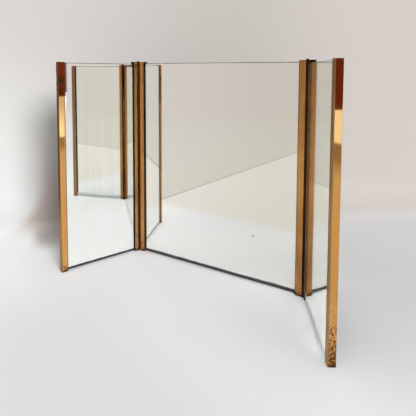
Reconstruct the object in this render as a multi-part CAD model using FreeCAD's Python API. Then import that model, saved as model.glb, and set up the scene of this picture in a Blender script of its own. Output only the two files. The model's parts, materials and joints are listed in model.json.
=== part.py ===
import FreeCAD, Part
import math
import os
from FreeCAD import Vector

# Free-standing dressing mirror of three panels, in millimetres.
# X runs to the right of a person who faces the mirror, the glass of the middle
# panel faces -Y, and +Z is up.  The panels are first laid out flat in one
# plane, then each wing is folded forward about its own hinge pin.

# ---- whole mirror ---------------------------------------------------------
CHANNEL_HEIGHT = 450.0       # upright brass channels beside the hinges
OUTER_DROP = 3.5             # the wings' outer channels end this much lower
PIN_SPACING = 400.0          # between the two hinge pins
WING_REACH = 184.0           # hinge pin to the outer face of a wing
LEFT_FOLD_DEG = 68.5         # degrees forward of flat, as the mirror stands
RIGHT_FOLD_DEG = 62.0

# ---- brass channel that holds each upright edge ------------------------------
CHANNEL_WALL = 1.0
FLANGE_WIDTH = 12.5          # how far the channel laps over the glass
WING_HINGE_FLANGE = 8.0      # the same, on a wing's channel beside the hinge
BEND_RADIUS = 0.6            # outside of the two folds

# ---- what the channels hold, from the front to the back -------------------------
GLASS_THICKNESS = 4.0
GLASS_ARRIS = 0.4            # ground edge along the top and the foot
COAT_THICKNESS = 0.2         # silver and its paint
BOARD_THICKNESS = 5.5
PANEL_PLAY = 0.05            # between the panel and its liner, all round
LINER_THICKNESS = 0.6        # black liner folded round the edge of the glass and board
LINER_SHOW = 1.2             # liner laps the glass a little past the flange's edge
LINER_END = 1.0              # liner stops short of the channel's ends
FOOT_GAP = 4.5               # glass stands clear of the floor
HEAD_GAP = 4.0               # and ends below the top of the channels
WING_HEAD_GAP = 5.5          # the same, on a wing, beside the hinge
BOARD_FOOT_SHOW = 2.5        # black board reaches below the glass
BOARD_HEAD_SHOW = 0.6        # and a little above it

# ---- continuous hinge between two panels ------------------------------------
BARREL_RADIUS = 2.6          # outside of the knuckles
LEAF_GAUGE = 0.9
PIN_CLEARANCE = 0.05         # between the pin and each knuckle, on the radius
PIN_AHEAD = 0.5              # pin's axis in front of the glass side
KNUCKLE_PITCH = 50.0
KNUCKLE_GAP = 0.3            # free play between two knuckles
KNUCKLE_RELIEF = 0.3         # leaf's edge clears the other leaf's knuckles
SEAM_GAP = 0.3               # where the rolled knuckle meets its own leaf
HINGE_FOOT = 1.0             # lowest knuckle above the floor
LEAF_INSET = 1.0             # leaf's back edge, in from the channel's back
PIN_HEAD_RADIUS = 2.3
PIN_HEAD_HEIGHT = 2.4
PIN_HEAD_CHAMFER = 1.0       # round the top of the head

# ---- rivets that hold a leaf to its channel ------------------------------------
RIVET_PITCH = 150.0
RIVET_RADIUS = 1.0
RIVET_CLEARANCE = 0.03

# ---- worked out from the sizes above ----------------------------------------
BED = CHANNEL_WALL + LINER_THICKNESS + PANEL_PLAY    # from the brass's face to the panel
CHANNEL_DEPTH = (2 * BED + GLASS_THICKNESS + COAT_THICKNESS
                 + BOARD_THICKNESS)
GLASS_FRONT = BED
COAT_FRONT = GLASS_FRONT + GLASS_THICKNESS
BOARD_FRONT = COAT_FRONT + COAT_THICKNESS
BOARD_BACK = BOARD_FRONT + BOARD_THICKNESS
OUTER_HEIGHT = CHANNEL_HEIGHT - OUTER_DROP
PANE_TOP = CHANNEL_HEIGHT - HEAD_GAP
WING_PANE_TOP = CHANNEL_HEIGHT - WING_HEAD_GAP

BORE_RADIUS = BARREL_RADIUS - LEAF_GAUGE
PIN_RADIUS = BORE_RADIUS - PIN_CLEARANCE
LEAF_FRONT = BARREL_RADIUS + KNUCKLE_RELIEF - PIN_AHEAD
LEAF_BACK = CHANNEL_DEPTH - LEAF_INSET
RIVET_DEPTH = (LEAF_FRONT + LEAF_BACK) / 2

UP = Vector(0, 0, 1)
ON_LINE = 1e-4               # how near an edge lies to the line asked for


def prism(points, foot, top):
    """A closed outline of (x, y) points carried straight up."""
    corners = [Vector(x, y, foot) for x, y in points]
    outline = Part.makePolygon(corners + corners[:1])
    return Part.Face(outline).extrude(UP * (top - foot))


def slab(x_one, x_two, front, back, foot, top):
    """A rectangular block between two x places, given in either order."""
    x_low = min(x_one, x_two)
    corner = Vector(x_low, front, foot)
    return Part.makeBox(abs(x_two - x_one), back - front, top - foot, corner)


def upright_edges(shape, x, depths):
    """The vertical edges of a shape that stand at x and one of the depths."""
    found = []
    for edge in shape.Edges:
        box = edge.BoundBox
        upright = box.ZLength > CHANNEL_HEIGHT / 2
        if upright and abs(box.Center.x - x) < ON_LINE:
            if min(abs(box.Center.y - depth) for depth in depths) < ON_LINE:
                found.append(edge)
    return found


# ---- panel pieces ----------------------------------------------------------------
def u_outline(wall, deep, reach, inset=0.0):
    """Corners of a U: its back at inset, its legs out to reach."""
    near, far = inset, deep - inset
    return [(near, near), (reach, near), (reach, near + wall),
            (near + wall, near + wall), (near + wall, far - wall),
            (reach, far - wall), (reach, far), (near, far)]


def channel(web, inward, flange=FLANGE_WIDTH, height=CHANNEL_HEIGHT):
    """Folded brass channel: its web's outer face at x = web, open to inward."""
    outline = u_outline(CHANNEL_WALL, CHANNEL_DEPTH, flange)
    points = [(web + inward * u, v) for u, v in outline]
    folded = prism(points, 0, height)
    bends = upright_edges(folded, web, (0, CHANNEL_DEPTH))
    return folded.makeFillet(BEND_RADIUS, bends)


def liner(web, inward, flange=FLANGE_WIDTH, height=CHANNEL_HEIGHT):
    """Black strip folded round the panel's edge, between it and the channel."""
    outline = u_outline(LINER_THICKNESS, CHANNEL_DEPTH, flange + LINER_SHOW,
                        CHANNEL_WALL)
    points = [(web + inward * u, v) for u, v in outline]
    return prism(points, LINER_END, height - LINER_END)


def glass(x_one, x_two, top):
    """Clear plate, with the exposed edges at its top and foot ground off."""
    front, back = GLASS_FRONT, COAT_FRONT
    cut = GLASS_ARRIS
    foot = FOOT_GAP
    section = [(front + cut, foot), (back - cut, foot), (back, foot + cut),
               (back, top - cut), (back - cut, top), (front + cut, top),
               (front, top - cut), (front, foot + cut)]
    start = min(x_one, x_two)
    corners = [Vector(start, y, z) for y, z in section]
    face = Part.Face(Part.makePolygon(corners + corners[:1]))
    return face.extrude(Vector(abs(x_two - x_one), 0, 0))


def silvering(x_one, x_two, top):
    """Silver and paint on the back of the glass, up to the ground edges."""
    foot = FOOT_GAP + GLASS_ARRIS
    return slab(x_one, x_two, COAT_FRONT, BOARD_FRONT, foot, top - GLASS_ARRIS)


def board(x_one, x_two, glass_top):
    """Black backing board behind the silver, a little taller than the glass."""
    foot, top = FOOT_GAP - BOARD_FOOT_SHOW, glass_top + BOARD_HEAD_SHOW
    return slab(x_one, x_two, BOARD_FRONT, BOARD_BACK, foot, top)


# ---- hinge pieces -----------------------------------------------------------------
def knuckle(pin_x, toward, foot, top):
    """One rolled knuckle and the neck that joins it to the leaf.

    The sheet leaves the leaf at the side of the barrel, goes round the front
    of the pin and ends close to the leaf again, which leaves a narrow seam.
    """
    outer, inner = BARREL_RADIUS, BORE_RADIUS
    neck = LEAF_FRONT + PIN_AHEAD
    end = math.acos((inner - SEAM_GAP) / outer)
    middle = math.pi + end / 2

    def point(radius, angle):
        x = pin_x + toward * radius * math.cos(angle)
        return Vector(x, radius * math.sin(angle) - PIN_AHEAD, foot)

    def at(u, v):
        return Vector(pin_x + toward * u, v - PIN_AHEAD, foot)

    def roll(radius):
        start, stop = point(radius, 0), point(radius, end)
        return Part.Arc(start, point(radius, middle), stop).toShape()

    edges = [
        Part.makeLine(at(outer, neck), at(outer, 0)),
        roll(outer),
        Part.makeLine(point(outer, end), point(inner, end)),
        roll(inner),
        Part.makeLine(at(inner, 0), at(inner, neck)),
        Part.makeLine(at(inner, neck), at(outer, neck)),
    ]
    outline = Part.Wire(Part.__sortEdges__(edges))
    return Part.Face(outline).extrude(UP * (top - foot))


def knuckle_count():
    """An odd number, so that the middle panel's leaf has both end knuckles."""
    pairs = round((CHANNEL_HEIGHT - HINGE_FOOT) / KNUCKLE_PITCH / 2)
    return 2 * max(pairs, 1) + 1


def leaf(pin_x, toward, first):
    """Hinge leaf on the side of a panel, with every second knuckle."""
    near, far = pin_x + toward * BORE_RADIUS, pin_x + toward * BARREL_RADIUS
    plate = slab(near, far, LEAF_FRONT, LEAF_BACK, HINGE_FOOT, CHANNEL_HEIGHT)
    count = knuckle_count()
    length = (CHANNEL_HEIGHT - HINGE_FOOT) / count
    rolls = []
    for i in range(first, count, 2):
        foot = HINGE_FOOT + i * length + (KNUCKLE_GAP / 2 if i else 0)
        top = HINGE_FOOT + (i + 1) * length
        top -= KNUCKLE_GAP / 2 if i < count - 1 else 0
        rolls.append(knuckle(pin_x, toward, foot, top))
    return riveted(plate.fuse(rolls).removeSplitter(), pin_x, toward)


def hinge_pin(pin_x):
    """Pin through every knuckle, with a chamfered head on the top one."""
    head, top = PIN_HEAD_RADIUS, CHANNEL_HEIGHT
    crown = top + PIN_HEAD_HEIGHT
    profile = [(0, crown), (0, HINGE_FOOT), (PIN_RADIUS, HINGE_FOOT),
               (PIN_RADIUS, top), (head, top),
               (head, crown - PIN_HEAD_CHAMFER),
               (head - PIN_HEAD_CHAMFER, crown)]
    corners = [Vector(pin_x + r, -PIN_AHEAD, z) for r, z in profile]
    face = Part.Face(Part.makePolygon(corners + corners[:1]))
    return face.revolve(Vector(pin_x, -PIN_AHEAD, 0), UP, 360)


# ---- rivets ---------------------------------------------------------------------------
def rivets(pin_x, toward, spare=0.0):
    """Rivets hammered flush with the leaf and the inside of the web.

    With some spare radius they are the holes that the rivets go through.
    """
    span = CHANNEL_HEIGHT - HINGE_FOOT
    count = max(2, round(span / RIVET_PITCH))
    into = Vector(toward, 0, 0)
    made = []
    for i in range(count):
        place = Vector(pin_x + toward * BORE_RADIUS, RIVET_DEPTH,
                       HINGE_FOOT + (i + 0.5) * span / count)
        made.append(Part.makeCylinder(RIVET_RADIUS + spare,
                                      LEAF_GAUGE + CHANNEL_WALL, place, into))
    return Part.makeCompound(made)


def riveted(shape, pin_x, toward):
    """A piece with its rivet holes."""
    return shape.cut(rivets(pin_x, toward, RIVET_CLEARANCE))


# ---- panels ------------------------------------------------------------------------------
def middle_panel():
    """Middle panel between the two pins, which it carries."""
    half = PIN_SPACING / 2
    web = half - BARREL_RADIUS
    edge = web - BED
    pieces = {"centre_glass": glass(-edge, edge, PANE_TOP),
              "centre_silvering": silvering(-edge, edge, PANE_TOP),
              "centre_board": board(-edge, edge, PANE_TOP)}
    for name, side in (("left", -1), ("right", 1)):
        pin_x = side * half
        brass = riveted(channel(side * web, -side), pin_x, -side)
        pieces["centre_channel_" + name] = brass
        pieces["centre_liner_" + name] = liner(side * web, -side)
        pieces["centre_leaf_" + name] = leaf(pin_x, -side, 0)
        pieces["centre_rivets_" + name] = rivets(pin_x, -side)
        pieces["hinge_pin_" + name] = hinge_pin(pin_x)
    return pieces


def wing(name, side, fold):
    """Wing laid out flat beside the middle panel, then folded forward."""
    pin_x = side * PIN_SPACING / 2
    inner = pin_x + side * BARREL_RADIUS
    outer = pin_x + side * WING_REACH
    start, stop = inner + side * BED, outer - side * BED
    hinged = channel(inner, side, WING_HINGE_FLANGE)
    pieces = {
        "glass": glass(start, stop, WING_PANE_TOP),
        "silvering": silvering(start, stop, WING_PANE_TOP),
        "board": board(start, stop, WING_PANE_TOP),
        "channel_outer": channel(outer, -side, height=OUTER_HEIGHT),
        "channel_inner": riveted(hinged, pin_x, side),
        "liner_outer": liner(outer, -side, height=OUTER_HEIGHT),
        "liner_inner": liner(inner, side, WING_HINGE_FLANGE),
        "leaf": leaf(pin_x, side, 1),
        "rivets": rivets(pin_x, side),
    }
    pin = Vector(pin_x, -PIN_AHEAD, 0)
    folded = {}
    for piece, shape in pieces.items():
        turned = shape.copy()
        turned.rotate(pin, UP, -side * fold)
        folded[name + "_" + piece] = turned
    return folded


def whole_mirror():
    """Every piece, with the origin on the floor under the middle of the box."""
    pieces = middle_panel()
    pieces.update(wing("left", -1, LEFT_FOLD_DEG))
    pieces.update(wing("right", 1, RIGHT_FOLD_DEG))
    box = Part.makeCompound(list(pieces.values())).optimalBoundingBox()
    shift = Vector(-box.Center.x, -box.Center.y, 0)
    for shape in pieces.values():
        shape.translate(shift)
    return pieces, shift


os.makedirs("parts", exist_ok=True)
mirror, origin_shift = whole_mirror()
for node, solid in sorted(mirror.items()):
    solid.exportStep("parts/" + node + ".step")
for side_name, side_sign in (("left", -1), ("right", 1)):
    place = Vector(side_sign * PIN_SPACING / 2, -PIN_AHEAD, 0) + origin_shift
    print(side_name, "hinge axis at x %.4f y %.4f" % (place.x, place.y))
print(len(mirror), "pieces")
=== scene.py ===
# %% [markdown]
# # A three-panel dressing mirror
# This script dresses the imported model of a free-standing mirror: three glass
# panels, six upright brass channels and two full-height hinges.  The solids
# already have their real shape and place, so the work here is in what the eye
# reads on a mirror: silver behind real glass, aged brass, black felt, and the
# pale room that all of them reflect.

# %% Load the frame
import json
import math

import bpy
import numpy as np
from mathutils import Matrix, Vector


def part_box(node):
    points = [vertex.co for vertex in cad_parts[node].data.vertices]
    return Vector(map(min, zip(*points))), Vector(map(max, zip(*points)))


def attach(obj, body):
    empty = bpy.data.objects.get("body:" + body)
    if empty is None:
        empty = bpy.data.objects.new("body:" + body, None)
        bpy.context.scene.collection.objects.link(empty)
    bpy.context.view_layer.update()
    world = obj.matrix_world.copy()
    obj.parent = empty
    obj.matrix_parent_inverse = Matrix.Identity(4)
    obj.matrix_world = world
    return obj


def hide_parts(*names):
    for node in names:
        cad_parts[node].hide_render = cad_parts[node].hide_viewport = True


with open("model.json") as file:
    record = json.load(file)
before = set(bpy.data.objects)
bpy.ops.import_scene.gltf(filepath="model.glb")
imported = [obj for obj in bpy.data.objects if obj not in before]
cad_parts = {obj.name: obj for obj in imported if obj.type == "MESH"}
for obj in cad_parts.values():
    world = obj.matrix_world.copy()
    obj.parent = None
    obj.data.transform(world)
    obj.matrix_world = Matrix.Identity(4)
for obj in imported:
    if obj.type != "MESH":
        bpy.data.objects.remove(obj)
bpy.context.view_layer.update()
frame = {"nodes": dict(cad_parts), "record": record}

# %% [markdown]
# ## The camera
# The mirror is seen from a little right of the middle, at the height of its
# top edge, with the camera almost level.  A level camera keeps uprights
# upright, and a small downward tilt with some lens shift puts the mirror at
# the right height in the picture.  The place is measured from the line between
# the hinges, on the front of the middle panel.

# %% Camera
CAMERA_RIGHT = 0.4221        # metres from the middle of the middle panel
CAMERA_BEFORE = 0.7352
CAMERA_HEIGHT = 0.4255
CAMERA_TURN = math.radians(30.52)
CAMERA_TILT = math.radians(3.84)
CAMERA_ROLL = math.radians(0.26)
LENS_MM = 35.15
SENSOR_MM = 36.0
LENS_SHIFT = -0.2596

left_post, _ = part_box("centre_channel_left")
_, right_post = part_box("centre_channel_right")
panel_middle = (left_post.x + right_post.x) / 2
panel_front = left_post.y
left_wing_post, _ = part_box("left_channel_outer")

camera_data = bpy.data.cameras.new("camera")
camera = bpy.data.objects.new("camera", camera_data)
bpy.context.scene.collection.objects.link(camera)
bpy.context.scene.camera = camera
camera_data.lens = LENS_MM
camera_data.sensor_width = SENSOR_MM
camera_data.shift_y = LENS_SHIFT
place = Matrix.Translation((panel_middle + CAMERA_RIGHT,
                            panel_front - CAMERA_BEFORE, CAMERA_HEIGHT))
turn = Matrix.Rotation(CAMERA_TURN, 4, "Z")
tilt = Matrix.Rotation(math.pi / 2 - CAMERA_TILT, 4, "X")
roll = Matrix.Rotation(CAMERA_ROLL, 4, "Z")
camera.matrix_world = place @ turn @ tilt @ roll
print("camera at", [round(v, 3) for v in camera.location])

# %% [markdown]
# ## Light paths
# A ray that meets a mirror goes into the glass, off the silver and out again,
# so one reflection already costs three bounces.  The wings see each other in
# the middle panel, and that picture needs several reflections in a row.

# %% Bounces and view
scene = bpy.context.scene
REFLECTIONS = 8
SPARE_BOUNCES = 4
scene.cycles.max_bounces = 3 * REFLECTIONS + SPARE_BOUNCES
scene.cycles.glossy_bounces = 2 * REFLECTIONS
scene.cycles.transmission_bounces = 2 * REFLECTIONS + SPARE_BOUNCES
scene.cycles.caustics_reflective = True
scene.cycles.caustics_refractive = True
scene.view_settings.view_transform = "Standard"

# %% [markdown]
# ## Small helpers for shaders
# Materials are node trees.  These helpers add a node, set its plain inputs and
# wire the others, so that each finish below reads as a short recipe.


# %% Shader helpers
MIX_FACTOR, MIX_FIRST, MIX_SECOND, MIX_RESULT = 0, 6, 7, 2    # sockets for colours


def wire(tree, socket, value):
    """Links another node's output to a socket, or sets a plain value on it."""
    if isinstance(value, bpy.types.NodeSocket):
        tree.links.new(value, socket)
    else:
        socket.default_value = value


def add(tree, kind, inputs=(), **settings):
    """Adds a node, applies its settings and fills or wires its inputs."""
    node = tree.nodes.new(kind)
    for name, value in settings.items():
        setattr(node, name, value)
    for name, value in dict(inputs).items():
        wire(tree, node.inputs[name], value)
    return node


def number(tree, operation, first, second=0.0, third=0.0):
    """One Math node; returns its value."""
    node = add(tree, "ShaderNodeMath", {0: first, 1: second, 2: third},
               operation=operation)
    return node.outputs[0]


def scaled(tree, first, second):
    """The product of two numbers."""
    return number(tree, "MULTIPLY", first, second)


def vector(tree, operation, first, second=(0.0, 0.0, 0.0)):
    """One Vector Math node; returns its number if it gives one, or its vector."""
    node = add(tree, "ShaderNodeVectorMath", {0: first, 1: second},
               operation=operation)
    gives_number = operation in ("DOT_PRODUCT", "LENGTH")
    return node.outputs["Value" if gives_number else "Vector"]


def position(tree):
    """The shaded point, in metres."""
    return add(tree, "ShaderNodeTexCoord").outputs["Object"]


def split(tree, whole):
    """The outputs X, Y and Z of a vector."""
    return add(tree, "ShaderNodeSeparateXYZ", {0: whole}).outputs


def ramp(tree, value, low, high, out_low=0.0, out_high=1.0):
    """Smoothly maps low..high to out_low..out_high."""
    node = add(tree, "ShaderNodeMapRange",
               {"Value": value, "From Min": low, "From Max": high,
                "To Min": out_low, "To Max": out_high},
               interpolation_type="SMOOTHSTEP")
    return node.outputs["Result"]


def fall(tree, value, low, high):
    """Smoothly from 1 at low to 0 at high."""
    return ramp(tree, value, low, high, 1.0, 0.0)


def blend_colours(tree, factor, first, second, mode="MIX"):
    """Mixes two colours by a factor; returns the colour."""
    node = add(tree, "ShaderNodeMix",
               {MIX_FACTOR: factor, MIX_FIRST: first, MIX_SECOND: second},
               data_type="RGBA", blend_type=mode)
    return node.outputs[MIX_RESULT]


def colour(red, green, blue):
    """An opaque colour."""
    return (red, green, blue, 1.0)


def group(name, inputs, outputs):
    """A new shader node group with named number inputs and typed outputs."""
    tree = bpy.data.node_groups.new(name, "ShaderNodeTree")
    for socket, default in inputs.items():
        made = tree.interface.new_socket(socket, in_out="INPUT",
                                         socket_type="NodeSocketFloat")
        made.default_value = default
    for socket, kind in outputs.items():
        tree.interface.new_socket(socket, in_out="OUTPUT", socket_type=kind)
    return tree, tree.nodes.new("NodeGroupInput"), tree.nodes.new("NodeGroupOutput")


def use(tree, name, **inputs):
    """Places a node group, fills its inputs and returns its first output."""
    node = tree.nodes.new("ShaderNodeGroup")
    node.node_tree = bpy.data.node_groups[name]
    for key, value in inputs.items():
        wire(tree, node.inputs[key.replace("_", " ")], value)
    return node.outputs[0]


def material(name):
    """An empty material with its output node."""
    made = bpy.data.materials.new(name)
    made.use_nodes = True
    made.node_tree.nodes.clear()
    return made, made.node_tree, made.node_tree.nodes.new("ShaderNodeOutputMaterial")


# %% [markdown]
# ## Shared effects
# Five effects come back in several finishes, so each is a node group.
#
# *Cloud* is slow variation, the way polish and breath leave a surface.
# *Specks* are small ragged marks that get denser towards the foot, where damp
# and cleaning water sit.  *Grain* is the fine upright scratching of drawn and
# rubbed metal.  *Corners* compares the true face with a rounded one, and marks
# only the corners and the narrow cut edges.  *Facing* marks the faces of a piece
# that look one way, in the piece's own directions.


# %% Cloud
def make_cloud():
    tree, start, end = group(
        "cloud", {"Scale": 10.0, "Low": 0.4, "High": 0.6, "Stretch": 1.0, "Seed": 0.0},
        {"Mask": "NodeSocketFloat"})
    squeeze = add(tree, "ShaderNodeCombineXYZ",
                  {"X": 1.0, "Y": 1.0, "Z": start.outputs["Stretch"]})
    placed = vector(tree, "MULTIPLY", position(tree), squeeze.outputs[0])
    noise = add(tree, "ShaderNodeTexNoise",
                {"Vector": placed, "Scale": start.outputs["Scale"],
                 "W": start.outputs["Seed"], "Detail": 5.0, "Roughness": 0.6},
                noise_dimensions="4D")
    mask = ramp(tree, noise.outputs["Fac"], start.outputs["Low"],
                start.outputs["High"])
    tree.links.new(mask, end.inputs["Mask"])


make_cloud()


# %% Specks
RAGGED_SCALE, RAGGED_SHARE = 2.3, 0.5    # noise that breaks the marks' outlines
SIZE_SPREAD = 0.22           # how far the marks differ in size
MARK_EDGE = 0.07
PATCH_SCALE = 14.0           # the marks gather in patches
PLACE_SHARE, PATCH_SHARE = 0.5, 0.9      # what decides where marks may lie
PATCH_EDGE = 0.62, 0.74


def make_specks():
    tree, start, end = group(
        "specks", {"Scale": 300.0, "Size": 0.2, "Foot": 0.1, "Spread": 0.4,
                   "Everywhere": 0.3, "Seed": 0.0},
        {"Mask": "NodeSocketFloat"})
    given = start.outputs
    where = position(tree)
    shifted = vector(tree, "ADD", where, given["Seed"])
    cells = add(tree, "ShaderNodeTexVoronoi",
                {"Vector": shifted, "Scale": given["Scale"], "Randomness": 1.0})
    ragged = add(tree, "ShaderNodeTexNoise",
                 {"Vector": shifted, "Detail": 2.0,
                  "Scale": scaled(tree, given["Scale"], RAGGED_SCALE)})
    edge = number(tree, "MULTIPLY_ADD", ragged.outputs["Fac"], RAGGED_SHARE,
                  cells.outputs["Distance"])
    draw = add(tree, "ShaderNodeSeparateColor", {0: cells.outputs["Color"]})
    size = number(tree, "MULTIPLY_ADD", draw.outputs[0], SIZE_SPREAD, given["Size"])
    marks = fall(tree, edge, size, number(tree, "ADD", size, MARK_EDGE))
    low_down = fall(tree, split(tree, where)["Z"], given["Foot"],
                    number(tree, "ADD", given["Foot"], given["Spread"]))
    patches = add(tree, "ShaderNodeTexNoise",
                  {"Vector": shifted, "Scale": PATCH_SCALE, "Detail": 3.0})
    amount = number(tree, "MAXIMUM", low_down, given["Everywhere"])
    gate = number(tree, "ADD", scaled(tree, amount, PLACE_SHARE),
                  scaled(tree, patches.outputs["Fac"], PATCH_SHARE))
    there = ramp(tree, gate, *PATCH_EDGE)
    tree.links.new(scaled(tree, marks, there), end.inputs["Mask"])


make_specks()


# %% Grain
DRAWN = (1.0, 1.0, 0.012)    # draws the noise out into upright lines


def make_grain():
    tree, start, end = group(
        "grain", {"Scale": 900.0, "Strength": 0.05},
        {"Value": "NodeSocketFloat", "Normal": "NodeSocketVector"})
    drawn = vector(tree, "MULTIPLY", position(tree), DRAWN)
    lines = add(tree, "ShaderNodeTexNoise",
                {"Vector": drawn, "Scale": start.outputs["Scale"],
                 "Detail": 3.0, "Roughness": 0.65})
    bump = add(tree, "ShaderNodeBump",
               {"Height": lines.outputs["Fac"], "Distance": 0.0002,
                "Strength": start.outputs["Strength"]})
    tree.links.new(lines.outputs["Fac"], end.inputs["Value"])
    tree.links.new(bump.outputs["Normal"], end.inputs["Normal"])


make_grain()


# %% Corners
SHARPLY_BENT = 0.86, 0.99    # cosine between the true face and the rounded one
GAP_EDGE = 0.25


def make_corners():
    tree, start, end = group(
        "corners", {"Radius": 0.0006, "Break up": 120.0, "Gaps": 0.35},
        {"Mask": "NodeSocketFloat"})
    rounded = add(tree, "ShaderNodeBevel", {"Radius": start.outputs["Radius"]},
                  samples=4)
    face = add(tree, "ShaderNodeNewGeometry").outputs["True Normal"]
    agreement = vector(tree, "DOT_PRODUCT", rounded.outputs["Normal"], face)
    bent = fall(tree, agreement, *SHARPLY_BENT)
    noise = add(tree, "ShaderNodeTexNoise",
                {"Vector": position(tree), "Scale": start.outputs["Break up"],
                 "Detail": 3.0})
    kept = ramp(tree, noise.outputs["Fac"], start.outputs["Gaps"],
                number(tree, "ADD", start.outputs["Gaps"], GAP_EDGE))
    tree.links.new(scaled(tree, bent, kept), end.inputs["Mask"])


make_corners()


# %% Facing
FACES_THERE = 0.93, 0.97     # cosine between a face and the given way


def make_facing():
    tree, start, end = group("facing", {"X": 0.0, "Y": -1.0},
                             {"Mask": "NodeSocketFloat"})
    face = add(tree, "ShaderNodeTexCoord").outputs["Normal"]
    way = add(tree, "ShaderNodeCombineXYZ",
              {"X": start.outputs["X"], "Y": start.outputs["Y"], "Z": 0.0})
    agreement = vector(tree, "DOT_PRODUCT", face, way.outputs[0])
    tree.links.new(ramp(tree, agreement, *FACES_THERE), end.inputs["Mask"])


make_facing()

# %% [markdown]
# ## Which way the panels face
# The wings stand folded, so the direction along each panel and the one out of
# its face come from the solids themselves.


# %% Panel directions
POINT_DIGITS = 7             # corners that agree to so many digits are one


def corner_points(node):
    """The different corners of a solid, as rows."""
    mesh = frame["nodes"][node].data
    flat = np.empty(len(mesh.vertices) * 3)
    mesh.vertices.foreach_get("co", flat)
    return np.unique(flat.reshape(-1, 3).round(POINT_DIGITS), axis=0)


def panel_frame(panel):
    """Unit vectors along a panel and out of its face, both level.

    In plan the coat is long and thin, so the first principal direction of its
    corners runs along the panel.  The glass lies on the side of the face.
    """
    coat = corner_points(panel + "_silvering")[:, :2]
    glass = corner_points(panel + "_glass")[:, :2]
    centred = coat - coat.mean(axis=0)
    along = np.linalg.svd(centred)[2][0]
    out = np.array([along[1], -along[0]])
    if (glass.mean(axis=0) - coat.mean(axis=0)) @ out < 0:
        out = -out
    return np.append(along, 0.0), np.append(out, 0.0)


# %% [markdown]
# ## Brass
# The channels were polished long ago.  Bare brass shows as a warm orange gold,
# a thin brown film lies over most of it in clouds, grime blackens the corners
# and cut edges, the lowest few millimetres are darker, and dark marks and
# mottled rot gather at the foot.  One recipe serves every brass piece.  The
# outer channels are still bright like a mirror, apart from the outward side of
# the left one and the front of the right one; those beside the hinges are
# duller, and the hinges are nearly black.


# %% Brass recipe
BARE = colour(0.74, 0.40, 0.135)
FILM = colour(0.46, 0.215, 0.07)
BROWN = colour(0.10, 0.035, 0.016)
DULL = colour(0.36, 0.225, 0.115)
GRIME_AND_FOOT_DARK = colour(0.02, 0.012, 0.01)
ROT = colour(0.085, 0.026, 0.012)
VEIL = colour(0.40, 0.185, 0.057)
EDGE_TINT = colour(0.75, 0.6, 0.45)      # what a low angle of view reflects
ROT_FREE = 0.70              # noise above this is rot, on sound metal
ROT_AT_FOOT, ROT_AT_STAIN = 0.42, 0.36   # the same at the foot and on the stain
ROT_EDGE = 0.07
STAIN_REACH = 0.022          # metres up and down
VEIL_START, VEIL_FULL, VEIL_TOP = -0.11, -0.04, -0.03         # from the stain
# The brass is darker over its lowest few millimetres; these heights end that.
FOOT_DARKENING = 0.0015, 0.0045   # heights over which it ends
DULL_RIM = 0.0018            # how far the dull side reaches round its edges
CLOUDED, STREAKED, FINE = 0.6, 0.25, 0.5      # how far each pattern shows the film
MARKED, ROTTED, BLACKENED = 0.85, 0.93, 0.85      # how far each hides the brass
FILM_ROUGH, FILM_ROUGH_MOST = 1.5, 0.12       # roughness that the layers add
GRAIN_ROUGH, MARK_ROUGH, ROT_ROUGH, DULL_ROUGH = 0.7, 0.3, 0.12, 0.2


def rot_mask(tree, height, foot, stain):
    """Mottled rot that fades out up to the height foot and round the stain."""
    off_stain = number(tree, "ABSOLUTE", number(tree, "SUBTRACT", height, stain))
    starts = number(tree, "MINIMUM",
                    ramp(tree, height, 0.0, foot, ROT_AT_FOOT, ROT_FREE),
                    ramp(tree, off_stain, 0.0, STAIN_REACH, ROT_AT_STAIN, ROT_FREE))
    return use(tree, "cloud", Scale=400.0, Stretch=0.8, Low=starts,
               High=number(tree, "ADD", starts, ROT_EDGE), Seed=7.0)


def dull_mask(tree, piece, way):
    """The side of a piece that looks the given way, and a rim round its edges."""
    side = use(tree, "facing", X=float(way[0]), Y=float(way[1]))
    out = vector(tree, "DOT_PRODUCT", position(tree), tuple(way))
    edge = (corner_points(piece) @ way).max() - DULL_RIM
    rim = ramp(tree, out, edge - DULL_RIM / 4, edge)
    return number(tree, "MAXIMUM", side, rim)


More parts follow.
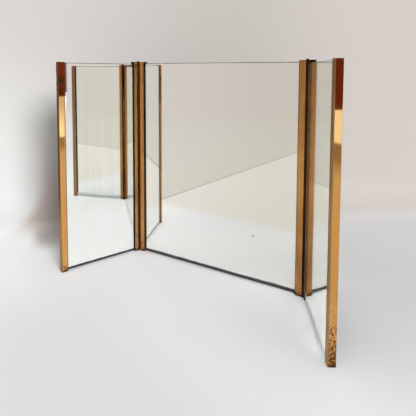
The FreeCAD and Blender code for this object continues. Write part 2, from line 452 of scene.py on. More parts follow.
def brass(name, film=0.45, marked=0.25, roughness=0.09, bare=BARE, thin=FILM,
          scratches=0.12, dull=None, rot=0.03, stain=-1.0, veil=0.0):
    """Brass with rot up to a height from the foot, and round a stain.

    film and marked say how much brown film and how many dark marks there are.
    dull names a piece and the level direction of its side that has gone dull.
    The veil is a brown breath below the stain.  A stain at a height below zero
    doesn't show.
    """
    made, tree, end = material(name)
    height = split(tree, position(tree))["Z"]
    clouds = use(tree, "cloud", Scale=16.0, Low=0.38, High=0.68, Stretch=0.35)
    streaks = use(tree, "cloud", Scale=150.0, Low=0.4, High=0.7, Stretch=0.05,
                  Seed=3.0)
    fine = use(tree, "cloud", Scale=330.0, Low=0.4, High=0.62, Stretch=0.4, Seed=9.0)
    marks = use(tree, "specks", Scale=420.0, Size=0.30, Foot=0.02, Spread=0.16,
                Everywhere=marked)
    grain = use(tree, "grain", Scale=1100.0, Strength=scratches)
    corner = use(tree, "corners", Radius=0.0008, Break_up=60.0, Gaps=0.2)
    filmed = number(tree, "MULTIPLY_ADD", clouds, CLOUDED,
                    scaled(tree, streaks, STREAKED))
    filmed = scaled(tree, filmed, 2 * film)
    fine = scaled(tree, fine, FINE * film)
    rotten = rot_mask(tree, height, rot, stain)
    # Grime on corners and cut edges, and the darker lowest few millimetres.
    grime_and_foot = number(tree, "MAXIMUM", corner, fall(tree, height, *FOOT_DARKENING))

    base = blend_colours(tree, filmed, bare, thin)
    base = blend_colours(tree, fine, base, thin)
    base = blend_colours(tree, scaled(tree, marks, MARKED), base, BROWN)
    if veil:
        under = ramp(tree, height, stain + VEIL_START, stain + VEIL_FULL)
        under = scaled(tree, under,
                       ramp(tree, height, stain + VEIL_TOP, stain, veil, 0.0))
        base = blend_colours(tree, under, base, VEIL)
    base = blend_colours(tree, scaled(tree, rotten, ROTTED), base, ROT)
    base = blend_colours(tree, scaled(tree, grime_and_foot, BLACKENED), base, GRIME_AND_FOOT_DARK)

    rough = roughness
    layers = [(filmed, min(FILM_ROUGH_MOST, FILM_ROUGH * roughness)),
              (grain, GRAIN_ROUGH * scratches),
              (marks, MARK_ROUGH), (rotten, ROT_ROUGH)]
    if dull:
        side = dull_mask(tree, *dull)
        base = blend_colours(tree, side, base,
                             blend_colours(tree, filmed, DULL, BROWN))
        layers.append((side, DULL_ROUGH))
    for mask, rougher in layers:
        rough = number(tree, "MULTIPLY_ADD", mask, rougher, rough)
    shader = add(tree, "ShaderNodeBsdfPrincipled",
                 {"Base Color": base, "Metallic": 1.0, "Roughness": rough,
                  "Specular Tint": EDGE_TINT, "Normal": grain.node.outputs["Normal"]})
    tree.links.new(shader.outputs[0], end.inputs["Surface"])
    return made


left_across = (corner_points("left_channel_outer").mean(axis=0)
               - corner_points("left_channel_inner").mean(axis=0))
left_across /= np.linalg.norm(left_across)
channel_brass = brass("channel_brass", film=0.6, roughness=0.05, scratches=0.04,
                      bare=colour(0.60, 0.305, 0.095), thin=colour(0.31, 0.14, 0.043),
                      rot=0.02)
polished_brass = brass("polished_brass", film=0.3, roughness=0.015, scratches=0.02,
                       bare=colour(0.76, 0.40, 0.125), thin=colour(0.56, 0.27, 0.08),
                       dull=("left_channel_outer", left_across),
                       rot=0.035, stain=0.408, veil=1.0)
half_dull_brass = brass("half_dull_brass", film=0.3, roughness=0.015, scratches=0.02,
                        bare=colour(0.67, 0.35, 0.107), thin=colour(0.49, 0.235, 0.07),
                        dull=("right_channel_outer", panel_frame("right")[1]),
                        rot=0.13)
hinge_brass = brass("hinge_brass", film=0.9, marked=0.5, roughness=0.35,
                    bare=colour(0.07, 0.022, 0.012), thin=colour(0.02, 0.008, 0.007))
rivet_brass = brass("rivet_brass", film=0.7, roughness=0.3)

# %% [markdown]
# ## Glass and silver
# The glass is a true clear plate with a faint green body, and its ground edges
# at top and foot are darkened; at the foot that is painted shade for the dark
# gap under the glass.  The silver is a thin metal layer behind it, a little
# tarnished on the middle and the right panel.  Light then does the rest: the
# doubled edge of the reflections, the dark line beside each channel where the
# felt is seen through the glass, and the green that deepens with every
# reflection.


# %% Glass
GLASS_BODY = colour(0.984, 0.996, 0.981)
# Ground edges at top and foot are darkened; at the foot this is painted shade.
GROUND_EDGE = colour(0.05, 0.05, 0.045)
LOOKS_UP = 0.3, 0.6          # lean of a face that counts as top or foot


def clear_glass():
    made, tree, end = material("clear_glass")
    face = add(tree, "ShaderNodeTexCoord").outputs["Normal"]
    upward = number(tree, "ABSOLUTE", split(tree, face)["Z"])
    base = blend_colours(tree, ramp(tree, upward, *LOOKS_UP), GLASS_BODY, GROUND_EDGE)
    shader = add(tree, "ShaderNodeBsdfPrincipled",
                 {"Base Color": base, "Roughness": 0.0,
                  "IOR": 1.52, "Transmission Weight": 1.0})
    tree.links.new(shader.outputs[0], end.inputs["Surface"])
    return made


# %% Silver
CLEAR = colour(1.0, 1.0, 1.0)
FRESH_SILVER = colour(0.99, 0.99, 0.98)
HAZY_SILVER = colour(0.88, 0.88, 0.80)
STREAKY_SILVER = colour(0.93, 0.945, 0.90)
LOST_SILVER = colour(0.10, 0.09, 0.08)
HAZE_ROUGH = 0.03


def silver(name, left_tint=CLEAR, right_tint=CLEAR, streaks=0.5):
    """Silver that may be a little tarnished, more so towards one side."""
    made, tree, end = material(name)
    spots = use(tree, "specks", Scale=70.0, Size=0.05, Foot=0.0, Spread=0.25,
                Everywhere=0.22, Seed=4.0)
    haze = use(tree, "cloud", Scale=9.0, Low=0.62, High=0.85, Seed=1.0)
    wiped = use(tree, "cloud", Scale=130.0, Low=0.42, High=0.72, Stretch=0.015,
                Seed=6.0)
    across = ramp(tree, split(tree, position(tree))["X"], left_post.x, right_post.x)
    tint = blend_colours(tree, across, left_tint, right_tint)
    base = blend_colours(tree, haze, FRESH_SILVER, HAZY_SILVER)
    base = blend_colours(tree, scaled(tree, wiped, streaks), base, STREAKY_SILVER)
    base = blend_colours(tree, 1.0, base, tint, "MULTIPLY")
    base = blend_colours(tree, spots, base, LOST_SILVER)
    rough = scaled(tree, haze, HAZE_ROUGH)
    shader = add(tree, "ShaderNodeBsdfPrincipled",
                 {"Base Color": base, "Metallic": 1.0, "Roughness": rough})
    tree.links.new(shader.outputs[0], end.inputs["Surface"])
    return made


# %% [markdown]
# ## Felt, board and pins
# Felt is matt and slightly fuzzy, so it has next to no gloss and a fine bump.
# The board is hardboard under black paint, with rubbed brown corners and pale
# scuffs.  The pins are steel gone black.


# %% Dark finishes
FELT_DARK, FELT_FUZZ = colour(0.003, 0.003, 0.003), colour(0.009, 0.008, 0.0075)
PAINT_DARK, PAINT_PALE = colour(0.007, 0.006, 0.006), colour(0.018, 0.016, 0.015)
SCUFF = colour(0.13, 0.115, 0.10)
SCUFFED = 0.3                # how far a scuff hides the paint
RUBBED = colour(0.045, 0.028, 0.018)
PAINT_GLOSS, PAINT_UNEVEN = 0.45, 0.2    # roughness, and what the clouds add
# Pale bluish white at the foot of the right board: painted light for the bright gap
# under that wing.
PAINTED_GAP_LIGHT = colour(0.93, 0.97, 1.0)
PAINTED_GAP_LIGHT_TOP = 0.014           # height above the table
PAINTED_GAP_LIGHT_EDGE = 0.0005


def black_felt():
    made, tree, end = material("liner_black")
    fuzz = use(tree, "cloud", Scale=900.0, Low=0.3, High=0.7)
    base = blend_colours(tree, fuzz, FELT_DARK, FELT_FUZZ)
    bump = add(tree, "ShaderNodeBump", {"Height": fuzz,
                                        "Distance": 0.0003, "Strength": 0.5})
    shader = add(tree, "ShaderNodeBsdfPrincipled",
                 {"Base Color": base, "Roughness": 0.95,
                  "Specular IOR Level": 0.05, "Normal": bump.outputs[0]})
    tree.links.new(shader.outputs[0], end.inputs["Surface"])
    return made


def painted_board(name, pale_foot_front=None):
    """Black paint, with a pale bluish painted light at the foot of one given side."""
    made, tree, end = material(name)
    where = position(tree)
    paint = use(tree, "cloud", Scale=7.0, Low=0.35, High=0.7)
    scuffs = use(tree, "cloud", Scale=38.0, Low=0.62, High=0.78, Stretch=0.3,
                 Seed=2.0)
    worn = use(tree, "corners", Radius=0.0008)
    weave = add(tree, "ShaderNodeTexNoise",
                {"Vector": where, "Scale": 1400.0, "Detail": 2.0})
    base = blend_colours(tree, paint, PAINT_DARK, PAINT_PALE)
    base = blend_colours(tree, scaled(tree, scuffs, SCUFFED), base, SCUFF)
    base = blend_colours(tree, worn, base, RUBBED)
    # Painted light at the foot of the given side.
    if pale_foot_front is not None:
        front = use(tree, "facing", X=float(pale_foot_front[0]), Y=float(pale_foot_front[1]))
        foot = fall(tree, split(tree, where)["Z"], PAINTED_GAP_LIGHT_TOP,
                    PAINTED_GAP_LIGHT_TOP + PAINTED_GAP_LIGHT_EDGE)
        base = blend_colours(tree, scaled(tree, foot, front), base, PAINTED_GAP_LIGHT)
    rough = number(tree, "MULTIPLY_ADD", paint, PAINT_UNEVEN, PAINT_GLOSS)
    bump = add(tree, "ShaderNodeBump", {"Height": weave.outputs["Fac"],
                                        "Distance": 0.0002, "Strength": 0.25})
    shader = add(tree, "ShaderNodeBsdfPrincipled",
                 {"Base Color": base, "Roughness": rough,
                  "Specular IOR Level": 0.2, "Normal": bump.outputs[0]})
    tree.links.new(shader.outputs[0], end.inputs["Surface"])
    return made


pin_steel = brass("pin_steel", film=0.9, marked=0.4, roughness=0.38,
                  bare=colour(0.20, 0.13, 0.10), thin=colour(0.06, 0.045, 0.04))

FINISHES = {
    "clear_glass": clear_glass(), "silvering": silver("silvering"),
    "board_black": painted_board("board_black"), "liner_black": black_felt(),
    "channel_brass": channel_brass, "hinge_brass": hinge_brass,
    "rivet_brass": rivet_brass, "pin_steel": pin_steel,
}
OWN_FINISH = {"left_channel_outer": polished_brass,
              "right_channel_outer": half_dull_brass,
              "right_board": painted_board("board_painted_light", panel_frame("right")[1])}
TARNISHED = {
    "centre": silver("silver_centre", colour(0.945, 0.94, 0.95),
                     colour(0.84, 0.83, 0.815), streaks=0.2),
    "right": silver("silver_right", colour(0.96, 0.97, 0.955),
                    colour(0.96, 0.97, 0.955), streaks=0.25),
}

# %% [markdown]
# ## Dress the solids
# The record says which finish each piece takes, so one loop dresses them all.

# %% Assign the finishes
for entry in frame["record"]["subparts"]:
    piece = frame["nodes"][entry["node"]]
    piece.data.materials.clear()
    piece.data.materials.append(OWN_FINISH.get(entry["node"])
                                or FINISHES[entry["material_slot"]])

# %% [markdown]
# ## Silver on the glass
# Real silver is laid on the back of the glass, so light meets it while it is
# still inside the glass.  Two solids that only touch leave that to chance, and
# the ray may slip between them.  Each coat is therefore built again as a thin
# closed sheet whose front lies a hair inside the glass.  Its top and foot are
# eaten back unevenly, as damp does to old silver along a cut edge.


# %% Closed sheets
def closed_sheet(name, front, back):
    """A closed thin solid from two grids of points of the same size.

    front and back have the shape (rows, columns, 3).  The front grid's rows go
    up and its columns go right as its face is looked at.
    """
    rows, columns = front.shape[:2]
    index = np.arange(rows * columns).reshape(rows, columns)
    low_left, low_right = index[:-1, :-1], index[:-1, 1:]
    up_left, up_right = index[1:, :-1], index[1:, 1:]
    faces = np.stack([low_left, low_right, up_right, up_left], axis=-1)
    behind = faces[..., ::-1] + rows * columns
    rim = np.concatenate([index[0, :-1], index[:-1, -1], index[-1, :0:-1],
                          index[:0:-1, 0]])
    after = np.roll(rim, -1)
    sides = np.stack([rim, rim + rows * columns, after + rows * columns, after],
                     axis=-1)
    points = np.concatenate([front.reshape(-1, 3), back.reshape(-1, 3)])
    every = np.concatenate([faces.reshape(-1, 4), behind.reshape(-1, 4), sides])
    mesh = bpy.data.meshes.new(name)
    mesh.from_pydata(points.tolist(), [], every.tolist())
    mesh.update()
    made = bpy.data.objects.new(name, mesh)
    scene.collection.objects.link(made)
    return made


# %% Eaten edge
BITE_STEPS = 6               # steps between two values of the slow noise
SLOW_SHARE = 0.75


def eaten(steps, depth, seed):
    """How far an edge is eaten back at each step: smooth noise, mostly small."""
    draw = np.random.default_rng(seed)
    coarse = draw.random(steps // BITE_STEPS + 2)
    fine = draw.random(steps)
    step = np.linspace(0, len(coarse) - 1, steps)
    slow = np.interp(step, np.arange(len(coarse)), coarse)
    return depth * (SLOW_SHARE * slow ** 2 + (1 - SLOW_SHARE) * fine)


# %% Sheets in the panels
SHEET_COLUMNS = 180
UP = np.array([0, 0, 1.0])


def panel_sheet(name, panel, solid, heights, front_shift, back_shift):
    """A closed sheet as wide and deep as a solid of the panel.

    solid holds the solid's corners, and heights those of the sheet's foot and
    top at each column.  The shifts move its front and its back along the way
    the panel faces.
    """
    along, out = panel_frame(panel)
    across, depth = solid @ along, solid @ out
    columns = np.linspace(across.min(), across.max(), SHEET_COLUMNS)
    if np.cross(along, UP) @ out < 0:
        columns = columns[::-1]
    level = columns[None, :, None] * along + heights[..., None] * UP
    return closed_sheet(name, level + (depth.max() + front_shift) * out,
                        level + (depth.min() + back_shift) * out)


# %% Silver sheets
BITE = 0.00004               # front of the silver inside the glass
# The right panel's taller bare foot lets the painted light on its board show through
# the glass.
BARE_FOOT = {"centre": 0.0032, "left": 0.0013, "right": 0.0080}   # glass only
EATEN_TOP = 0.0006
EATEN_FOOT = 0.0014
SEED_STEP = 10


def silver_sheet(panel, body, seed):
    """Front at the glass less the bite, back where the solid coat has it."""
    coat = corner_points(panel + "_silvering")
    foot = (coat[:, 2].min() + BARE_FOOT[panel]
            + eaten(SHEET_COLUMNS, EATEN_FOOT, seed))
    top = coat[:, 2].max() - eaten(SHEET_COLUMNS, EATEN_TOP, seed + 1)
    made = panel_sheet(panel + "_silver_sheet", panel, coat, np.stack([foot, top]),
                       BITE, 0.0)
    made.data.materials.append(TARNISHED.get(panel, FINISHES["silvering"]))
    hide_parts(panel + "_silvering")
    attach(made, body)
    return made


PANELS = (("centre", "centre"), ("left", "left_wing"), ("right", "right_wing"))
for seed, (panel, body) in enumerate(PANELS):
    sheet = silver_sheet(panel, body, SEED_STEP * seed)
    print(sheet.name, "faces", len(sheet.data.polygons))

# %% [markdown]
# ## Painted shade under the boards
# The line under the middle and the left glass is as black as ink, because a
# strip of black felt under the board nearly closes the gap to the table: a
# dark sheet as painted shade for that gap.  It is a closed sheet too, as deep
# as the board, with a slightly frayed lower edge.  The right wing has no such
# strip; the last centimetre of its silver is left off, and the foot of its
# board behind that is painted a pale bluish white as painted light for the
# bright gap under that wing.

# %% Strips of painted shade
# Black felt strips under the boards: painted shade for the gap to the table.
SHADE_STRIP_CLEAR = 0.0007          # the felt's height above the table
SHADE_STRIP_FRAY = 0.0004
SHADE_STRIP_INSET = 0.0003          # behind the board's front and back
SHADE_STRIP_SEED = 5


def shade_strip(panel, body, seed):
    """Front and back planes just inside the board's, from its foot down."""
    board = corner_points(panel + "_board")
    fray = SHADE_STRIP_CLEAR + eaten(SHEET_COLUMNS, SHADE_STRIP_FRAY, seed)
    board_foot = np.full(SHEET_COLUMNS, board[:, 2].min())
    made = panel_sheet(panel + "_shade_strip", panel, board, np.stack([fray, board_foot]),
                       -SHADE_STRIP_INSET, SHADE_STRIP_INSET)
    made.data.materials.append(FINISHES["liner_black"])
    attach(made, body)
    return made


for seed, (panel, body) in enumerate(PANELS[:2]):
    strip_piece = shade_strip(panel, body, SEED_STEP * seed + SHADE_STRIP_SEED)
    print(strip_piece.name, "faces", len(strip_piece.data.polygons))

# %% [markdown]
# ## The room
# A mirror is mostly a picture of its room.  Here the room is a wide white floor
# with a grey sweep standing close behind the mirror, and a plain warm grey all
# round.  In front, the white ends along two lines that only the mirrors show:
# one runs level with the middle panel, the other runs away from it on the left.
# The white is painted lighter and darker as painted light and shade: brightest
# to the left, falling off towards the right back.  Two soft patches of painted
# shade darken it further: one along the foot of the right wing, and a painted
# shadow at the foot of the sweep, in the left wing's shadow.  The floor is a disc
# worked out as rings of points.

# %% Room colours
# The floor whites are painted light and shade: brightest to the left, darker towards
# the right back.
LEFT_WHITE = colour(0.95, 0.96, 0.97)
NEAR_WHITE = colour(0.80, 0.812, 0.845)
MIDDLE_WHITE = colour(0.865, 0.878, 0.903)
RIGHT_WHITE = colour(0.685, 0.695, 0.712)
FRONT_WHITE = colour(0.80, 0.76, 0.70)
SIDE_GREY = colour(0.665, 0.625, 0.565)
SEAM_GREY = colour(0.30, 0.28, 0.25)
SKY_LOW = colour(0.70, 0.645, 0.60)
SKY_HIGH = colour(0.61, 0.565, 0.52)
# A painted glow: the floor shines brighter for mirrored rays only.
MIRRORED_LIFT = 0.09         # how much brighter the mirrors show the floor
# Painted reflections seen only by mirrored rays to the right front: a dark side, a
# glare band that glows brighter than white, and a dusk band.
DARK_SIDE = colour(0.20, 0.055, 0.05)
GLARE = colour(1.6, 2.0, 2.6)
DUSK = colour(0.46, 0.42, 0.38)
LEVEL = (1.0, 1.0, 0.0)      # takes the height out of a direction
SECTOR_RIGHT = 0.50, 0.60    # x and y of level directions to the right front
SECTOR_FRONT = -0.050, -0.044


def sharp_ray(tree):
    """1 for rays that carry a picture: from the camera, a mirror or glass."""
    path = add(tree, "ShaderNodeLightPath")
    kinds = [path.outputs["Is " + kind + " Ray"]
             for kind in ("Camera", "Glossy", "Transmission")]
    return number(tree, "MAXIMUM", kinds[0], number(tree, "MAXIMUM", *kinds[1:]))


def mirrored_ray(tree):
    """1 for rays that come from a mirror or from polished metal."""
    return add(tree, "ShaderNodeLightPath").outputs["Is Glossy Ray"]


def right_side(tree, toward):
    """1 for mirrored rays towards the right front, given their direction."""
    unit = vector(tree, "NORMALIZE", vector(tree, "MULTIPLY", toward, LEVEL))
    parts = split(tree, unit)
    sector = scaled(tree, ramp(tree, parts["X"], *SECTOR_RIGHT),
                    fall(tree, parts["Y"], *SECTOR_FRONT))
    return scaled(tree, sector, mirrored_ray(tree))


def mix_shaders(tree, factor, first, second):
    """The first shader at 0, the second at 1."""
    node = add(tree, "ShaderNodeMixShader", {0: factor, 1: first, 2: second})
    return node.outputs[0]


# %% Floor
FLOOR_RADIUS = 8.0
FRONT_EDGE = 0.295           # the bright white ends this far before the panel
FRONT_SOFT = 0.05
FRONT_DIRECT = 0.25          # how much of that is seen without a mirror
SIDE_EDGE = -0.432           # and at this x, beside the left wing
SIDE_LEAN = -0.125           # how far that line leans, metres across per metre
SEAM_WIDTH = 0.006
HAZE = 1.4, 4.0              # distance over which the floor turns to haze
DUSK_EDGE, GLARE_EDGE = (1.0, 1.35), (1.6, 1.7)     # x of bands that metal shows
GLARE_END = 6.4, 6.43        # distance, with y counted so many times:
Y_LONGER = 1.7
WHITE_LEAN = 0.5             # the white changes with y and this much of x
NEAR_TO_MIDDLE, MIDDLE_TO_RIGHT = (-0.27, -0.08), (-0.02, 0.48)
LEFT_TO_NEAR = -0.48, -0.10  # x alone
# Painted shade along the foot of the right wing:
WING_SHADE, WING_SHADE_REACH = 0.26, 0.05            # share of white lost, and how far off
WING_SHADE_START, WING_SHADE_END = (-0.06, 0.0), (0.09, 0.19)    # along the wing, from its pin
WING_SHADE_BLACK = colour(0.0, 0.0, 0.0)
SWEEP_NEAR = Vector((-0.45, 0.16))       # a point of the wall's foot, in plan
SWEEP_ALONG = Vector((0.79, 0.613)).normalized()
# DEEP_SHADE is a painted shadow at the foot of the sweep.
DEEP_SHADE = colour(0.62, 0.57, 0.54)    # what the left wing's shadow leaves there
DEEP_LEFT, DEEP_RIGHT = (-0.18, -0.14), (-0.05, 0.03)         # along the foot
DEEP_FAR, DEEP_NEAR = (0.04, 0.10), (0.12, 0.20)              # before the foot
DEEP_SLANT = -0.3


def floor_mesh(rings=48, spokes=96):
    """Disc on z = 0: radius grows as the square of the ring number."""
    ring = np.linspace(0, 1, rings)[1:] ** 2 * FLOOR_RADIUS
    angle = np.linspace(0, 2 * np.pi, spokes, endpoint=False)
    radius, turned = np.meshgrid(ring, angle, indexing="ij")
    points = np.stack([radius * np.cos(turned), radius * np.sin(turned),
                       np.zeros_like(radius)], axis=-1).reshape(-1, 3)
    points = np.vstack([points, [[0, 0, 0]]])
    here = np.arange(spokes)
    after = (here + 1) % spokes
    start = np.arange(rings - 2)[:, None] * spokes
    quads = np.stack([start + here, start + spokes + here,
                      start + spokes + after, start + after], axis=-1)
    fan = np.stack([here, after, np.full(spokes, len(points) - 1)], axis=-1)
    mesh = bpy.data.meshes.new("floor")
    faces = quads.reshape(-1, 4).tolist() + fan.tolist()
    mesh.from_pydata(points.tolist(), [], faces)
    mesh.update()
    return mesh


def near_white(tree, parts):
    """White with painted light and shade, brightest beside the mirror, that falls off
    to the right back.
    """
    across = number(tree, "MULTIPLY_ADD", parts["X"], WHITE_LEAN, parts["Y"])
    white = blend_colours(tree, ramp(tree, across, *NEAR_TO_MIDDLE), NEAR_WHITE,
                          MIDDLE_WHITE)
    white = blend_colours(tree, ramp(tree, across, *MIDDLE_TO_RIGHT), white,
                          RIGHT_WHITE)
    return blend_colours(tree, ramp(tree, parts["X"], *LEFT_TO_NEAR), LEFT_WHITE,
                         white)


def measured_along(tree, where, start, ways):
    """How far a point lies from a start, measured along each of the ways."""
    away = vector(tree, "SUBTRACT", where, tuple(start))
    return [vector(tree, "DOT_PRODUCT", away, tuple(way)) for way in ways]


def deep_shade(tree, where, base):
    """Dims a colour at the foot of the wall: a painted shadow where the left wing's
    shadow falls.
    """
    along, before = measured_along(
        tree, where, (SWEEP_NEAR.x, SWEEP_NEAR.y, 0.0),
        ((SWEEP_ALONG.x, SWEEP_ALONG.y, 0.0), (SWEEP_ALONG.y, -SWEEP_ALONG.x, 0.0)))
    slanted = number(tree, "MULTIPLY_ADD", before, DEEP_SLANT, along)
    across = scaled(tree, ramp(tree, slanted, *DEEP_LEFT),
                    fall(tree, along, *DEEP_RIGHT))
    deep = scaled(tree, ramp(tree, before, *DEEP_FAR),
                  fall(tree, before, *DEEP_NEAR))
    return blend_colours(tree, scaled(tree, across, deep), base, DEEP_SHADE,
                         "MULTIPLY")


def painted_wing_shade(tree, where):
    """How much painted shade dims the floor: most along the right wing, fading to all
    sides.

    It falls off with the distance from the wing's line and stops before the
    wing's end.  Without it the light between the wings would burn out there.
    """
    along, out = panel_frame("right")
    low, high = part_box("hinge_pin_right")
    hinge = np.array((low + high) / 2)
    if (corner_points("right_channel_outer").mean(axis=0) - hinge) @ along < 0:
        along = -along
    before, beside = measured_along(tree, where, hinge, (out, along))
    fade = scaled(tree, number(tree, "ABSOLUTE", before), -1.0 / WING_SHADE_REACH)
    amount = scaled(tree, number(tree, "EXPONENT", fade),
                    ramp(tree, beside, *WING_SHADE_END, WING_SHADE, 0.0))
    return scaled(tree, amount, ramp(tree, beside, *WING_SHADE_START))


def mirrored_front(tree, parts, mirrored, base):
    """Ends a colour along the two lines in front that the mirrors show."""
    edge = panel_front - FRONT_EDGE
    before = fall(tree, parts["Y"], edge - FRONT_SOFT, edge + FRONT_SOFT)
    share = number(tree, "MULTIPLY_ADD", mirrored, 1.0 - FRONT_DIRECT, FRONT_DIRECT)
    base = blend_colours(tree, scaled(tree, before, share), base, FRONT_WHITE)
    lean = number(tree, "MULTIPLY_ADD", parts["Y"], SIDE_LEAN, SIDE_EDGE)
    across = number(tree, "SUBTRACT", lean, parts["X"])
    beside = scaled(tree, before, ramp(tree, across, 0.0, SEAM_WIDTH))
    base = blend_colours(tree, beside, base, SIDE_GREY)
    seam = fall(tree, number(tree, "ABSOLUTE", across), 0.0, SEAM_WIDTH)
    return blend_colours(tree, scaled(tree, before, seam), base, SEAM_GREY)


def far_floor(tree, where, parts):
    """What sharp rays see far away, with painted reflections for mirrored rays to the
    right front, and how far it replaces the floor.
    """
    away = vector(tree, "LENGTH", where)
    reach = vector(tree, "LENGTH",
                   vector(tree, "MULTIPLY", where, (1.0, Y_LONGER, 1.0)))
    from_post = vector(tree, "SUBTRACT", where, left_wing_post)
    right = right_side(tree, from_post)
    dusk, glare, gloom = (
        scaled(tree, right, ramp(tree, value, *edge))
        for value, edge in ((parts["X"], DUSK_EDGE), (parts["X"], GLARE_EDGE),
                            (reach, GLARE_END)))
    seen = SKY_LOW
    for mask, tone in ((dusk, DUSK), (glare, GLARE), (gloom, DARK_SIDE)):
        seen = blend_colours(tree, mask, seen, tone)
    haze = number(tree, "MAXIMUM", dusk, ramp(tree, away, *HAZE))
    return seen, scaled(tree, haze, sharp_ray(tree))


def floor_finish():
    """White near the mirror, with a painted glow for mirrored rays, and plain sky
    colour in the haze far away.
    """
    made, tree, end = material("floor")
    where = position(tree)
    parts = split(tree, where)
    mirrored = mirrored_ray(tree)
    # Painted shade along the right wing's foot, over the painted white.
    base = blend_colours(tree, painted_wing_shade(tree, where), near_white(tree, parts), WING_SHADE_BLACK)
    base = deep_shade(tree, where, base)
    base = mirrored_front(tree, parts, mirrored, base)
    shader = add(tree, "ShaderNodeBsdfPrincipled",
                 {"Base Color": base, "Roughness": 0.9,
                  "Specular IOR Level": 0.1, "Emission Color": CLEAR,
                  "Emission Strength": scaled(tree, mirrored, MIRRORED_LIFT)})
    seen, haze = far_floor(tree, where, parts)
    distance = add(tree, "ShaderNodeEmission", {"Color": seen, "Strength": 1.0})
    shown = mix_shaders(tree, haze, shader.outputs[0], distance.outputs[0])
    tree.links.new(shown, end.inputs["Surface"])
    return made


floor = bpy.data.objects.new("floor", floor_mesh())
scene.collection.objects.link(floor)
floor.data.materials.append(floor_finish())

# %% [markdown]
# ## The sweep
# The sweep is a sheet of grey card that curves up from the floor into a wall.
# Its foot runs from close behind the left wing to farther behind the right one,
# with room for both wings to swing back.  It takes the shadow of the left wing,
# which painted shadow on the card and at its foot makes deeper.
# Seen from behind it isn't there, so that the back of the mirror can be seen.

# %% Sweep
SWEEP_LEFT, SWEEP_RIGHT = 1.5, 2.2       # how far it runs each way
SWEEP_HEIGHT = 1.6
COVE_RADIUS = 0.11
OFF_FLOOR = 0.0002           # so that the card's foot hides the floor
CARD_LEFT = colour(0.635, 0.64, 0.64)
CARD_MIDDLE = colour(0.45, 0.42, 0.40)
CARD_RIGHT = colour(0.49, 0.455, 0.435)
CARD_DIMMER = colour(0.81, 0.78, 0.745)  # high up, against the foot
# CARD_SHADE is a painted shadow on the card.
CARD_SHADE = colour(0.78, 0.67, 0.61)    # where the left wing's shadow falls
FOOT_FADE = 0.22             # of the cove's radius, floor white turns to card
# DIM_CARD is a painted dark reflection, seen only by mirrored rays.
DIM_CARD = colour(0.19, 0.15, 0.16)      # far to the left, as the metal shows it
DIM_EDGE = -0.72, -0.64      # x where one colour turns to the next
LEFT_TO_MIDDLE, CARD_TO_RIGHT = (-0.75, -0.12), (-0.12, 0.18)
SHADE_LEFT, SHADE_RIGHT = (-0.575, -0.54), (-0.40, -0.30)
SHADE_TOP, DIMMER_EDGE = (0.0, 0.33), (0.15, 0.62)            # height


def sweep_mesh(stations=24, turns=16):
    """A quarter circle and an upright line, carried along the wall's foot."""
    angle = np.linspace(0, np.pi / 2, turns)
    back = np.append(COVE_RADIUS * (np.sin(angle) - 1), 0.0)
    up = np.append(COVE_RADIUS * (1 - np.cos(angle)) + OFF_FLOOR, SWEEP_HEIGHT)
    along = np.linspace(-SWEEP_LEFT, SWEEP_RIGHT, stations)
    forward = np.array([SWEEP_ALONG.x, SWEEP_ALONG.y])
    away = np.array([-SWEEP_ALONG.y, SWEEP_ALONG.x])
    plan = (np.array(SWEEP_NEAR) + along[:, None, None] * forward
            + back[None, :, None] * away)
    height = np.broadcast_to(up[None, :, None], plan.shape[:2] + (1,))
    points = np.concatenate([plan, height], axis=-1)
    index = np.arange(points.shape[0] * points.shape[1]).reshape(points.shape[:2])
    faces = np.stack([index[:-1, :-1], index[1:, :-1], index[1:, 1:],
                      index[:-1, 1:]], axis=-1)
    mesh = bpy.data.meshes.new("sweep")
    mesh.from_pydata(points.reshape(-1, 3).tolist(), [], faces.reshape(-1, 4).tolist())
    mesh.update()
    mesh.shade_smooth()
    return mesh


def card_colour(tree, parts):
    """Grey card, with a painted shadow where the left wing's shadow falls."""
    across = ramp(tree, parts["X"], *LEFT_TO_MIDDLE)
    card = blend_colours(tree, across, CARD_LEFT, CARD_MIDDLE)
    card = blend_colours(tree, ramp(tree, parts["X"], *CARD_TO_RIGHT), card,
                         CARD_RIGHT)
    high = scaled(tree, ramp(tree, parts["Z"], *DIMMER_EDGE),
                  number(tree, "SUBTRACT", 1.0, across))
    card = blend_colours(tree, high, card, CARD_DIMMER, "MULTIPLY")
    shade = scaled(tree, ramp(tree, parts["X"], *SHADE_LEFT),
                   fall(tree, parts["X"], *SHADE_RIGHT))
    shade = scaled(tree, shade, fall(tree, parts["Z"], *SHADE_TOP))
    return blend_colours(tree, shade, card, CARD_SHADE, "MULTIPLY")


def sweep_finish():
    """Floor white at the foot, card above it with a painted dark reflection far to the
    left, and nothing from behind.
    """
    made, tree, end = material("sweep")
    where = position(tree)
    parts = split(tree, where)
    steep = number(tree, "DIVIDE", parts["Z"], FOOT_FADE * COVE_RADIUS)
    steep = number(tree, "MINIMUM", number(tree, "SQRT", steep), 1.0)
    base = blend_colours(tree, steep, near_white(tree, parts),
                         card_colour(tree, parts))
    base = deep_shade(tree, where, base)
    mirrored = mirrored_ray(tree)
    beyond = scaled(tree, mirrored, fall(tree, parts["X"], *DIM_EDGE))
    base = blend_colours(tree, beyond, base, DIM_CARD)
    shader = add(tree, "ShaderNodeBsdfPrincipled",
                 {"Base Color": base, "Roughness": 0.9, "Specular IOR Level": 0.1})
    behind = add(tree, "ShaderNodeNewGeometry").outputs["Backfacing"]
    clear = add(tree, "ShaderNodeBsdfTransparent")
    shown = mix_shaders(tree, behind, shader.outputs[0], clear.outputs[0])
    tree.links.new(shown, end.inputs["Surface"])
    return made


sweep = bpy.data.objects.new("sweep", sweep_mesh())
scene.collection.objects.link(sweep)
sweep.data.materials.append(sweep_finish())

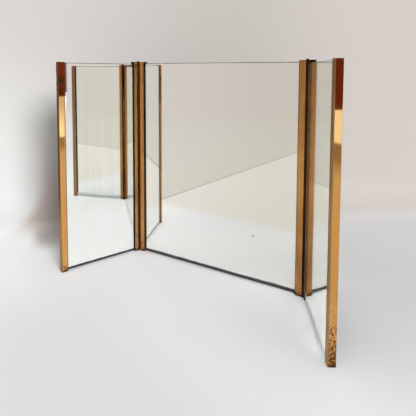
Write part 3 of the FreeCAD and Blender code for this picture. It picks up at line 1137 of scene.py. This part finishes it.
# %% [markdown]
# ## Light
# A low broad sun from the right front is the key.  It throws the shadow of the
# left wing on the sweep, and the left wing's glass throws light back on the
# floor between the wings.  The sky fills the rest, brighter from above than
# from the sides, so that the floor stays white where the sweep is in shadow.
# To the right a dark strip lies on the horizon, a painted reflection that only
# mirrored rays see, which the brass ends pick up as their dark tops.

# %% World
FILL_ABOVE = 0.77
FILL_LEVEL = 0.20
FILL = colour(1.0, 1.0, 0.995)
SKY_RISE = 0.0, 0.5          # upward part of a direction, from the low sky's colour
DARK_STRIP_TOP = 0.12, 0.20


def sky():
    """One sky that lights the scene, and one that sharp rays see, with a painted dark
    strip for mirrored rays.
    """
    world = bpy.data.worlds.new("sky")
    scene.world = world
    world.use_nodes = True
    tree = world.node_tree
    tree.nodes.clear()
    end = tree.nodes.new("ShaderNodeOutputWorld")
    toward = add(tree, "ShaderNodeTexCoord").outputs["Generated"]
    upward = split(tree, toward)["Z"]
    seen = blend_colours(tree, ramp(tree, upward, *SKY_RISE), SKY_LOW, SKY_HIGH)
    dark = scaled(tree, fall(tree, upward, *DARK_STRIP_TOP), right_side(tree, toward))
    seen = blend_colours(tree, dark, seen, DARK_SIDE)
    strength = ramp(tree, upward, 0.0, 1.0, FILL_LEVEL, FILL_ABOVE)
    fill = add(tree, "ShaderNodeBackground", {"Color": FILL, "Strength": strength})
    shown = add(tree, "ShaderNodeBackground", {"Color": seen, "Strength": 1.0})
    either = mix_shaders(tree, sharp_ray(tree), fill.outputs[0], shown.outputs[0])
    tree.links.new(either, end.inputs["Surface"])


sky()


# %% Lamps
KEY_TURN = math.radians(-28)     # from +X towards the front
KEY_HEIGHT = math.radians(19.5)
KEY_STRENGTH = 3.1
KEY_SIZE = math.radians(19)
KEY_COLOUR = (1.0, 0.995, 0.985)

key_data = bpy.data.lights.new("key", "SUN")
key_data.energy = KEY_STRENGTH
key_data.angle = KEY_SIZE
key_data.color = KEY_COLOUR
key = bpy.data.objects.new("key", key_data)
toward_key = Vector((math.cos(KEY_TURN) * math.cos(KEY_HEIGHT),
                     math.sin(KEY_TURN) * math.cos(KEY_HEIGHT),
                     math.sin(KEY_HEIGHT)))
key.rotation_euler = toward_key.to_track_quat("Z", "Y").to_euler()
scene.collection.objects.link(key)
print("key shines from", [round(v, 2) for v in toward_key])

# %% [markdown]
# The left wing's glass throws so much light back that the floor between the
# wings shows no shadow of the right wing.  Path tracing finds such light only
# with very many rays, so the right wing is left out of the key's shadows, which
# a lamp's blocker collection does.

# %% Blockers
spared = bpy.data.collections.new("not in the way of the key")
for node in frame["record"]["behaviour"]["bodies"]["right_wing"]:
    spared.objects.link(frame["nodes"][node])
spared.objects.link(bpy.data.objects["right_silver_sheet"])
for entry in spared.collection_objects:
    entry.light_linking.link_state = "EXCLUDE"
key.light_linking.blocker_collection = spared
